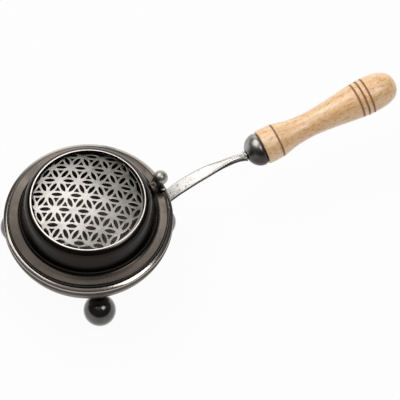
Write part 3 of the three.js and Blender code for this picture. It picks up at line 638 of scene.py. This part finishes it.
def screwProfile(head, end):
    top, bend, wide = head - feet["headHeight"], feet["headRound"], feet["head"]
    return [(0, top + feet["slotDepth"]), (feet["slot"], top + feet["slotDepth"]),
            (feet["slotMouth"], top), *arc(wide - bend, top + bend, bend, 270, 360, 5),
            (wide, head), (feet["screw"], head), (feet["screw"], end), (0, end)]


def makeFeet():
    seat = feet["spacerThick"] + 2 * feet["gap"]
    reach = seat + feet["ball"] - feet["seatFlat"]
    blackFinish, steelFinish = glossyBlack(), satinSteel("satinFootFittings")
    for label, azimuth in feet["azimuths"].items():
        frameHere = wallFrame(feet["seatAngle"], azimuth)
        ball = ballMesh(feet["ball"], feet["ballSegments"], frameHere @ slide(0, 0, reach))
        flatCut(ball, frameHere @ Vector((0, 0, seat * mm)), frameHere.to_3x3() @ Vector((0, 0, -1)))
        flatCut(ball, Vector((0, 0, -feet["stand"] * mm)), (0, 0, -1))
        finished("footBall_" + label, ball, blackFinish, handleBody,
                 ["foot_ball_" + label])
        profile = spacerProfile(feet["gap"], seat - feet["gap"])
        spacer = spun(profile, feet["spacerSteps"], loop=True)
        finished("footSpacer_" + label, moved(spacer, frameHere), steelFinish,
                 handleBody, ["foot_spacer_" + label])
        head, end = -bowl["wall"] - feet["gap"], seat + feet["screwDepth"] - feet["gap"]
        screw = spun(screwProfile(head, end), feet["screwSteps"])
        finished("footScrew_" + label, moved(screw, frameHere), steelFinish,
                 handleBody, ["foot_screw_" + label])


makeFeet()
print("feet made")

hinge = {
    "pinPlace": (47.5, 0, 39.2), "pin": 0.9, "pinHead": 1.4, "headHeight": 0.6, "half": 5.1,
    "pinShares": [(0, 0), (0.45, 1 / 15), (0.8, 0.3), (1, 0.7), (1, 1)], "pinSteps": 32,
    "ball": 4.45, "ballPlace": (47.9, 0, 46.4), "ballSegments": (56, 36),
    "rivetX": 43.6, "rivetSpread": 1.55, "rivet": 0.6, "rivetHead": 1.1, "rivetHeadHeight": 0.5,
    "rivetLow": 36.7, "rivetHigh": 39.6, "rivetSteps": 28,
    "rivetShares": [(1, 0), (0.94, 0.35), (0.7, 0.75), (0.35, 0.96), (0, 1)],
    "bracketEase": 0.14, "leafEase": 0.12, "lugEase": 0.2,
    # base colour and roughness
    "pinSteel": ((0.70, 0.69, 0.66), 0.26), "rivetSteel": ((0.12, 0.105, 0.09), 0.4),
    "ballSteel": ((0.45, 0.43, 0.40), 0.37),
}


def makeLeafRivets():
    low, high = hinge["rivetLow"], hinge["rivetHigh"]
    head, tall = hinge["rivetHead"], hinge["rivetHeadHeight"]
    dull = satinSteel("darkLeafRivets", *hinge["rivetSteel"])
    for label, side in (("left", 1), ("right", -1)):
        profile = [(0, low - tall), (head, low - tall), (head, low), (hinge["rivet"], low),
                   (hinge["rivet"], high), *domed(head, high, tall, hinge["rivetShares"])]
        rivet = spun(profile, hinge["rivetSteps"])
        moved(rivet, slide(hinge["rivetX"], side * hinge["rivetSpread"], 0))
        finished("leafRivet_" + label, rivet, dull, coverBody, ["leaf_rivet_" + label])


def makeHinge():
    dark = blackenedSteel("blackenedHinge", lines=False)
    softened("easedBracket", "hinge_bracket", dark, handleBody, hinge["bracketEase"])
    softened("easedLeaf", "hinge_leaf", dark, coverBody, hinge["leafEase"])
    for label in ("near_hinge", "rear", "front"):
        softened("easedLug_" + label, "grille_lug_" + label, dark, coverBody, hinge["lugEase"])
    bright = satinSteel("satinHingeFittings", *hinge["pinSteel"])
    half, tall = hinge["half"], hinge["headHeight"]
    end = [*domed(hinge["pinHead"], half, -tall, hinge["pinShares"]), (hinge["pin"], half - tall)]
    pin = spun([*end, *[(across, -up) for across, up in reversed(end)]], hinge["pinSteps"])
    lay = slide(*hinge["pinPlace"]) @ Matrix.Rotation(-pi / 2, 4, "X")
    finished("turnedHingePin", moved(pin, lay), bright, handleBody, ["hinge_pin"])
    makeLeafRivets()
    ball = ballMesh(hinge["ball"], hinge["ballSegments"], slide(*hinge["ballPlace"]))
    finish = satinSteel("satinThumbBall", *hinge["ballSteel"])
    finished("thumbBall", ball, finish, coverBody, ["thumb_ball"])


makeHinge()
print("hinge and thumb ball made")

# the strap, the ferrule and the wooden grip share these
handle = {"rise": 8.1, "height": 14.2, "mouth": 117.5, "gap": 0.3, "ferruleDepth": 11.2, "tang": 2}


def axisPoint(distance):  # on the grip's axis, by its distance from the ferrule's mouth
    slope = radians(handle["rise"])
    return (handle["mouth"] + distance * cos(slope),
            handle["height"] + handle["mouth"] * tan(slope) + distance * sin(slope))


def gripFrame():  # +Z runs out along the grip
    x, z = axisPoint(0)
    return slide(x, 0, z) @ Matrix.Rotation(radians(90 - handle["rise"]), 4, "Y")


def gripPlace(nodes):  # the point in the grip's frame
    x, z = axisPoint(0)
    return nodes.place((x * mm, 0, z * mm), (0, radians(90 - handle["rise"]), 0))


strap = {
    "pad": 11, "padThick": 1.7, "padAngles": (37.5, 36.0, 33.6, 29.5), "padShares": (0.86, 1, 1, 0.95),
    "width": 8.2, "thick": 2.4, "neck": 2.4, "neckShare": 2.3, "tangLength": 40,
    "flare": 3.5, "flareDrop": 0.12, "flareLength": 0.35,
    "squareShare": 0.62, "sides": 32, "between": 5,
    # shares of the reach and the rise, of the width and the thickness, and squareness
    "archShares": [
        (0.132, 0.287, 1, 1, 1), (0.243, 0.573, 1, 1, 1), (0.354, 0.784, 0.99, 1, 1),
        (0.466, 0.95, 0.95, 1, 0.95), (0.577, 1.056, 0.87, 1.05, 0.85), (0.66, 1.094, 0.75, 1.25, 0.6),
        (0.745, 1.109, 0.64, 1.6, 0.3), (0.829, 1.116, 0.6, 1.95, 0), (0.915, 1.086, 0.6, 2.05, 0),
    ],
}


def strapRows():  # x, z, width, thickness and squareness, from the pad to the neck
    rows = []
    for angle, share in zip(strap["padAngles"], strap["padShares"]):
        (across, up), (outX, outZ) = wallPoint(angle), wallNormal(angle)
        lift = handle["gap"] + strap["padThick"] / 2
        rows.append([across + outX * lift, up + outZ * lift, strap["pad"] * share, strap["padThick"], 1])
    collar = -handle["ferruleDepth"] - handle["gap"]
    start, end = rows[-1][:2], axisPoint(collar)
    for along, rise, wide, thick, square in strap["archShares"]:
        rows.append([start[0] + (end[0] - start[0]) * along, start[1] + (end[1] - start[1]) * rise,
                     wide * strap["width"], thick * strap["thick"], square])
    neck = strap["neckShare"] * strap["neck"]
    return [*rows, [*axisPoint(collar - strap["neck"] / 2), neck, neck, 0]]


def strapStations():  # the rows made smooth, then the flare and the tang, all with their slope
    rows, between = strapRows(), strap["between"]
    smooth = [curved(rows, i, j / between) for i in range(len(rows) - 1) for j in range(between)]
    smooth.append(rows[-1])
    slopes = []
    for i in range(len(smooth)):
        low, high = smooth[max(i - 1, 0)], smooth[min(i + 1, len(smooth) - 1)]
        slopes.append(atan2(high[1] - low[1], high[0] - low[0]))
    rise, tang, collar = radians(handle["rise"]), handle["tang"], -handle["ferruleDepth"] - handle["gap"]
    slopes[-1] = rise
    stations = [[*row, slope] for row, slope in zip(smooth, slopes)]
    for distance, radius in [(collar - strap["flareLength"], strap["flare"] - strap["flareDrop"]),
                             (collar, strap["flare"]), (-handle["ferruleDepth"], tang),
                             (strap["tangLength"] - tang, tang), (strap["tangLength"], tang / 2)]:
        stations.append([*axisPoint(distance), 2 * radius, 2 * radius, 0, rise])
    return stations


forged = {
    "dark": (0.40, 0.385, 0.36), "light": (0.52, 0.50, 0.47), "neck": (0.90, 0.88, 0.84),
    "root": (0.96, 0.94, 0.90), "pit": (0.16, 0.145, 0.13), "scale": (0.060, 0.054, 0.048),
    # scale is the tone of painted shade on the sides and underside
    "cloud": (160, 4, 0.6), "grit": (620, 3, 0.65), "drawn": (1500, 2, 0.5), "stretch": 0.08,
    "dents": (420, 0.6), "cloudFade": (0.3, 0.6), "pitFade": (0.56, 0.66),
    "rootReach": (52, 92), "neckReach": (92, 104),
    "litFade": (0.66, 0.86), "litGrit": 0.10, "litReach": (86, 100), "litMore": 0.16,
    "roughness": 0.38, "rootRough": 0.14, "pitRough": 0.1, "drawnRough": 0.12, "rootDull": 0.8,
    "pitShares": (0.75, 0.06), "dentShares": (0.8, 0.1), "drawnHeight": 0.1, "bump": (0.3, 0.2),
}


def forgedSteel():  # painted light and shade: bright on top, painted dark down the sides and below
    nodes = newNodes("forgedStrapSteel")
    point = nodes.place()
    x, y, z = nodes.split(point)
    # how much the strap faces up, which paints light on top and shade below
    topLit = nodes.node("ShaderNodeAttribute", {"attribute_name": "topLit"}, output=2)
    root = 1 - nodes.fadeAlong(x, *forged["rootReach"])  # hammered more towards the bowl
    cloud = nodes.noise(point, *forged["cloud"])
    grit = nodes.noise(point, *forged["grit"])
    drawn = nodes.noise(nodes.combined(x * forged["stretch"], y, z), *forged["drawn"])
    scale, smooth = forged["dents"]
    dents = nodes.node("ShaderNodeTexVoronoi", {"feature": "SMOOTH_F1"},
                       {"Vector": point, "Scale": scale, "Smoothness": smooth})
    litShare = nodes.varied(topLit, (grit, forged["litGrit"]))
    litShare = litShare + nodes.fadeAlong(x, *forged["litReach"]) * forged["litMore"]
    bright = nodes.fade(litShare, *forged["litFade"])
    nearRoot, everywhere = forged["pitShares"]
    pits = nodes.fade(grit, *forged["pitFade"]) * (root * nearRoot + everywhere)
    colour = nodes.mottled(cloud, forged)
    colour = nodes.mixed(nodes.fadeAlong(x, *forged["neckReach"]), colour, forged["neck"])
    colour = nodes.mixed(root, colour, forged["root"])
    colour = nodes.mixed(pits, colour, forged["pit"])
    # painted shade: the dark scale tone wherever the strap is not top-lit
    colour = nodes.mixed(bright, forged["scale"], colour)
    rough = forged["roughness"] + root * forged["rootRough"] + pits * forged["pitRough"]
    nearRoot, everywhere = forged["dentShares"]
    height = dents * (root * nearRoot + everywhere) + drawn * forged["drawnHeight"]
    return nodes.surface(colour, nodes.varied(rough, (drawn, forged["drawnRough"])), height,
                         forged["bump"], {"Metallic": 1 - root * bright * forged["rootDull"]})


def edgesOf(ring):
    corners = set(ring)
    return [edge for edge in {edge for corner in ring for edge in corner.link_edges}
            if all(corner in corners for corner in edge.verts)]


def makeStrap():
    mesh = bmesh.new()
    topLit = mesh.verts.layers.float.new("topLit")
    rings = []
    for x, z, wide, thick, squareness, slope in strapStations():
        ring = bmesh.ops.create_circle(mesh, segments=strap["sides"], radius=1)["verts"]
        square = max(0, min(1, squareness))
        power = 1 - strap["squareShare"] * square
        for corner in ring:
            turn = atan2(corner.co.y, corner.co.x) + pi / strap["sides"]
            c, s = cos(turn), sin(turn)
            aside = (1 if c > 0 else -1) * abs(c) ** power * wide / 2
            lift = (1 if s > 0 else -1) * abs(s) ** power * thick / 2
            corner.co = Vector((x - sin(slope) * lift, aside, z + cos(slope) * lift)) * mm
            # how much the strap faces up, for its painted light and shade
            corner[topLit] = max(0, s) ** (0.5 + 0.5 * (1 - square))
        rings.append(ring)
    loops = [edgesOf(ring) for ring in rings]
    for first, second in zip(loops, loops[1:]):
        bmesh.ops.bridge_loops(mesh, edges=first + second)
    for loop in (loops[0], loops[-1]):
        bmesh.ops.contextual_create(mesh, geom=loop)
    bmesh.ops.recalc_face_normals(mesh, faces=mesh.faces[:])
    finished("forgedStrap", mesh, forgedSteel(), handleBody, ["strap"], sharp=40)


makeStrap()

strapRivets = {
    "angle": 33.6, "spread": 2.9, "radius": 1.1, "head": 1.9, "headHeight": 0.9, "steps": 28,
    "shares": [(0, 1), (0.4, 0.95), (0.75, 0.7), (0.96, 0.3), (1, 0)],
}


def makeStrapRivets():
    finish = satinSteel("satinStrapRivets")
    turn = degrees(asin(strapRivets["spread"] / wallPoint(strapRivets["angle"])[0]))
    low, high = -bowl["wall"] - handle["gap"], handle["gap"] + strap["padThick"]
    head = domed(strapRivets["head"], low, -strapRivets["headHeight"], strapRivets["shares"])
    for label, azimuth in (("left", turn), ("right", -turn)):
        rivet = spun([*head, (strapRivets["radius"], low), (strapRivets["radius"], high), (0, high)],
                     strapRivets["steps"])
        moved(rivet, wallFrame(strapRivets["angle"], azimuth))
        finished("strapRivet_" + label, rivet, finish, handleBody,
                 ["strap_rivet_" + label])


makeStrapRivets()
print("strap made")

ferrule = {
    "radius": 10.3, "mouth": 9.7, "wall": 0.9, "waist": 0.2, "domeSteps": 20, "steps": 112,
    "edgeOut": 0.1, "edgeBack": 0.25, "edgeIn": 0.15,
    # scale is the tone of painted shade, below and in front
    "dark": (0.20, 0.190, 0.178), "light": (0.40, 0.383, 0.362), "scale": (0.060, 0.055, 0.050),
    "cloud": (110, 4, 0.6), "cloudFade": (0.32, 0.66), "turnLines": 1900, "lineSpread": 2,
    "shadeTowards": (0.65, 0.75), "shadeReach": (-4, 7), "roughness": 0.32, "turnRough": 0.18,
    "cloudRough": 0.12, "bump": (0.3, 0.03),
}


def ferruleSteel():  # painted shade: darker below and in front, toward the viewer
    nodes = newNodes("satinFerrule")
    point = gripPlace(nodes)
    u, v, along = nodes.split(point)  # u runs down and v away from the viewer
    across = (u * u + v * v) ** 0.5
    cloud = nodes.noise(point, *ferrule["cloud"])
    lines = (along + across) * ferrule["turnLines"]
    turned = nodes.turningMarks(u, v, across, lines, ferrule["lineSpread"])
    colour = nodes.mottled(cloud, ferrule)
    down, back = ferrule["shadeTowards"]
    unshaded = nodes.fadeAlong(v * back - u * down, *ferrule["shadeReach"])
    # painted shade in the scale tone, below and toward the viewer
    colour = nodes.mixed(unshaded, ferrule["scale"], colour)
    rough = nodes.varied(ferrule["roughness"], (turned, ferrule["turnRough"]),
                         (cloud, ferrule["cloudRough"]))
    return nodes.surface(colour, rough, turned, ferrule["bump"], {"Metallic": 1})


def ferruleDome(inset):
    bore, waist = handle["tang"] + handle["gap"], -handle["ferruleDepth"] * ferrule["waist"]
    radius, depth = ferrule["radius"] - inset, handle["ferruleDepth"] + waist - inset
    start, steps = asin(bore / radius), ferrule["domeSteps"]
    turns = [start + (pi / 2 - start) * i / steps for i in range(steps + 1)]
    return [(radius * sin(turn), waist - depth * cos(turn)) for turn in turns]


def makeFerrule():
    edge, mouth = -handle["gap"], ferrule["mouth"]
    profile = [*ferruleDome(0), (mouth + ferrule["edgeOut"], edge - ferrule["edgeBack"]),
               (mouth - ferrule["edgeIn"], edge), (mouth - ferrule["wall"], edge),
               *reversed(ferruleDome(ferrule["wall"]))]
    mesh = moved(spun(profile, ferrule["steps"], loop=True), gripFrame())
    finished("turnedFerrule", mesh, ferruleSteel(), handleBody, ["ferrule"], sharp=40)


makeFerrule()
print("ferrule made")

grip = {
    "length": 92.4, "radius": 10.75, "spigot": 7.6, "spigotLength": 3.5, "spigotEdge": 0.4,
    "shares": [
        (0, 0.99), (0.022, 1.025), (0.107, 1), (0.165, 0.895), (0.228, 0.787), (0.35, 0.718),
        (0.472, 0.787), (0.606, 0.922), (0.707, 1.02), (0.784, 1.063), (0.883, 1),
        (0.95, 0.8), (0.985, 0.47), (1, 0),
    ],
    "grooves": [0.107, 0.707, 0.746, 0.784], "grooveDepth": 0.45, "grooveHalf": 0.5,
    "grooveClear": 1.1, "grooveSteps": 4, "steps": 128, "along": 200,
}


def gripOutline():  # the same curve through the shares as the solid's, with round grooves
    shares, points = grip["shares"], []
    for i in range(grip["along"] + 1):
        place = (len(shares) - 1) * i / grip["along"]
        k = min(int(place), len(shares) - 2)
        along, wide = curved(shares, k, place - k)
        points.append((along * grip["length"], max(wide * grip["radius"], 0)))
    outline = []
    for along, radius in points:
        near = min(abs(along - share * grip["length"]) for share in grip["grooves"])
        if near > grip["grooveHalf"] * grip["grooveClear"]:
            outline.append((radius, along))
    steps = grip["grooveSteps"]
    for share in grip["grooves"]:
        for i in range(-steps, steps + 1):
            along = share * grip["length"] + grip["grooveHalf"] * i / steps
            before = max((p for p in points if p[0] <= along), key=lambda p: p[0])
            after = min((p for p in points if p[0] > along), key=lambda p: p[0])
            radius = before[1] + (after[1] - before[1]) * (along - before[0]) / (after[0] - before[0])
            outline.append((radius - grip["grooveDepth"] * (0.5 + 0.5 * cos(pi * i / steps)), along))
    return sorted(outline, key=lambda point: point[1])


# a grain is its stretch along the grip, then a noise
wood = {
    "pale": (0.99, 0.685, 0.365), "mid": (0.99, 0.575, 0.255), "late": (0.63, 0.255, 0.080),
    "burnt": (0.23, 0.090, 0.030), "sway": (0.12, 60, 3, 0.5), "fibre": (0.10, 1300, 3, 0.6),
    "flecks": (0.45, 720, 4, 0.65), "pores": (0.16, 1700, 2, 0.5), "cloud": (0.45, 130, 3, 0.55),
    "heart": (-21, 34), "rings": 260, "swayRings": 5.5, "line": (0.25, 1.05),
    "lateRise": (0.25, 0.95), "lateFall": (0.95, 1.0),
    "fleckFade": (0.50, 0.62), "poreFade": (0.62, 0.72), "cloudFade": (0.32, 0.70),
    "lateShare": 0.16, "fleckShare": 0.62, "fibreShare": 0.08, "poreShare": 0.22, "burntShare": 0.84,
    "roughness": 0.36, "fibreRough": 0.2, "poreRough": 0.15, "burntRough": 0.25,
    "fibreHeight": 0.5, "poreHeight": 0.8, "lateHeight": 0.15, "bump": (0.3, 0.06),
    "specular": 0.85, "coatRough": 0.3,
}


def turnedWood():
    nodes = newNodes("turnedPaleWood")
    u, v, along = nodes.split(gripPlace(nodes))

    def grain(name):
        stretch, *settings = wood[name]
        return nodes.noise(nodes.combined(u, v, along * stretch), *settings)

    heart = ((u - wood["heart"][0] * mm) ** 2 + (v - wood["heart"][1] * mm) ** 2) ** 0.5
    rings = nodes.maths("FRACT", heart * wood["rings"] + grain("sway") * wood["swayRings"])
    late = nodes.fade(rings, *wood["lateRise"]) - nodes.fade(rings, *wood["lateFall"])
    fibre = grain("fibre")
    flecks = nodes.fade(grain("flecks"), *wood["fleckFade"])
    pores = nodes.fade(grain("pores"), *wood["poreFade"])
    colour = nodes.mixed(nodes.fade(grain("cloud"), *wood["cloudFade"]), wood["pale"], wood["mid"])
    for amount, share in ((late, "lateShare"), (flecks, "fleckShare"), (fibre, "fibreShare")):
        colour = nodes.mixed(amount * wood[share], colour, wood["late"])
    colour = nodes.mixed(pores * wood["poreShare"], colour, wood["burnt"])
    middles = [share * grip["length"] * mm for share in grip["grooves"]]
    lines = [1 - nodes.fadeAlong(abs(along - middle), *wood["line"]) for middle in middles]
    burnt = nodes.greatest(*lines)
    colour = nodes.mixed(burnt * wood["burntShare"], colour, wood["burnt"])
    rough = nodes.varied(wood["roughness"], (fibre, wood["fibreRough"]))
    rough = rough + pores * wood["poreRough"] + burnt * wood["burntRough"]
    height = fibre * wood["fibreHeight"] - pores * wood["poreHeight"] + late * wood["lateHeight"]
    return nodes.surface(colour, rough, height, wood["bump"], {
        "Specular IOR Level": wood["specular"], "Coat Weight": 1 - burnt,
        "Coat Roughness": wood["coatRough"]})


def makeGrip():
    wide, deep, edge = grip["spigot"], -grip["spigotLength"], grip["spigotEdge"]
    profile = [(0, deep), (wide - edge, deep), (wide, deep + edge), (wide, 0), *gripOutline()]
    mesh = moved(spun(profile, grip["steps"]), gripFrame())
    finished("turnedGrip", mesh, turnedWood(), handleBody, ["wooden_grip"], sharp=50)


makeGrip()
print("grip made")

studio = {
    "floorHeight": -8, "floorMetres": 6, "floor": (0.80, 0.80, 0.80), "floorGlow": 0.95,
    "skyLow": (0.08, 0.08, 0.08), "skyHigh": (1.6, 1.6, 1.6),
    "back": (0.54, 0.83, 0.10), "backFade": (0.68, 0.94), "backHeight": (0.25, 0.50),
    "above": (0.04, 0.27, 0.96), "aboveFade": (0.68, 0.96), "spill": 0.34,
    "sweepHeight": (0.07, 0.13), "sweep": 0.6,
}
lampTarget = (0.02, 0, 0.03)  # in metres, like all of the lamps
lamps = {  # direction from the object, distance, size and radiance
    "overhead": {"way": (-0.14, 0.445, 0.885), "distance": 1.3, "size": (1.30, 1.00), "radiance": 2.5},
    "right": {"way": (0.30, -0.36, 0.88), "distance": 1.3, "size": (0.50, 0.46), "radiance": 4.6},
}


def makeFloor():
    mesh = bmesh.new()
    bmesh.ops.create_grid(mesh, x_segments=1, y_segments=1, size=studio["floorMetres"],
                          matrix=slide(0, 0, studio["floorHeight"]))
    nodes = newNodes("paleFloor")
    matt = nodes.node("ShaderNodeBsdfDiffuse", inputs={"Color": studio["floor"]})
    glow = nodes.node("ShaderNodeEmission", inputs={"Color": (1, 1, 1), "Strength": 1.0})
    rays = nodes.node("ShaderNodeLightPath").socket.node
    kinds = ["Is Camera Ray", "Is Glossy Ray", "Is Transmission Ray"]
    seen = nodes.greatest(*[Wire(nodes, rays.outputs[kind]) for kind in kinds])
    both = nodes.node("ShaderNodeMixShader", inputs={0: seen * studio["floorGlow"], 1: matt, 2: glow})
    nodes.node("ShaderNodeOutputMaterial", inputs={"Surface": both})
    added("floor", meshData("floor", mesh, nodes.holder))


def makeSky():
    world = bpy.data.worlds.new("studioSky")
    bpy.context.scene.world = world
    nodes = Nodes(world)
    way = nodes.node("ShaderNodeTexCoord", output="Generated")
    up = nodes.split(way)[2]

    def facing(name):  # 1 in the named direction, less away from it
        towards = Vector(studio[name]).normalized()
        return nodes.node("ShaderNodeVectorMath", {"operation": "DOT_PRODUCT"},
                          {0: way, 1: towards}, 1)

    band = nodes.fade(facing("back"), *studio["backFade"]) * (1 - nodes.fade(up, *studio["backHeight"]))
    spill = nodes.fade(facing("above"), *studio["aboveFade"]) * studio["spill"]  # round the softboxes
    sweep = (1 - nodes.fade(up, *studio["sweepHeight"])) * studio["sweep"]  # just above the floor's edge
    sky = nodes.mixed(nodes.greatest(band, spill, sweep), studio["skyLow"], studio["skyHigh"])
    light = nodes.node("ShaderNodeBackground", inputs={"Color": sky, "Strength": 1.0})
    nodes.node("ShaderNodeOutputWorld", inputs={"Surface": light})


def makeLamps():
    for name, values in lamps.items():
        lamp = bpy.data.lights.new(name + "Softbox", "AREA")
        lamp.shape = "RECTANGLE"
        lamp.size, lamp.size_y = values["size"]
        lamp.energy = values["radiance"] * pi * lamp.size * lamp.size_y
        way = Vector(values["way"]).normalized()
        holder = added(name + "Softbox", lamp)
        holder.location = Vector(lampTarget) + way * values["distance"]
        holder.rotation_euler = way.to_track_quat("Z", "Y").to_euler()


view = {  # in a frame at the rim's centre, which turn and lift bring into the part's
    "right": (0.99824, 0.05167, 0.02911), "up": (-0.05931, 0.86967, 0.49004),
    "place": (66.2, -723.7, 1314.0), "turn": -29.5, "lift": 34.2,
    "lens": 225, "sensor": 36, "clip": (0.05, 50),  # clip in metres
}


def makeCamera():
    right, up = Vector(view["right"]).normalized(), Vector(view["up"]).normalized()
    back = right.cross(up).normalized()
    up = back.cross(right)
    seat = Matrix((right, up, back)).transposed().to_4x4()
    seat.translation = Vector(view["place"]) * mm
    lens = bpy.data.cameras.new("photoCamera")
    lens.lens = view["lens"]
    lens.sensor_width = view["sensor"]
    lens.clip_start, lens.clip_end = view["clip"]
    camera = added("photoCamera", lens)
    turn = Matrix.Rotation(radians(view["turn"]), 4, "Z")
    camera.matrix_world = slide(0, 0, view["lift"]) @ turn @ seat
    bpy.context.scene.camera = camera


makeFloor()
makeSky()
makeLamps()
makeCamera()
bpy.context.scene.view_settings.view_transform = "Standard"
print("floor, light and camera made")
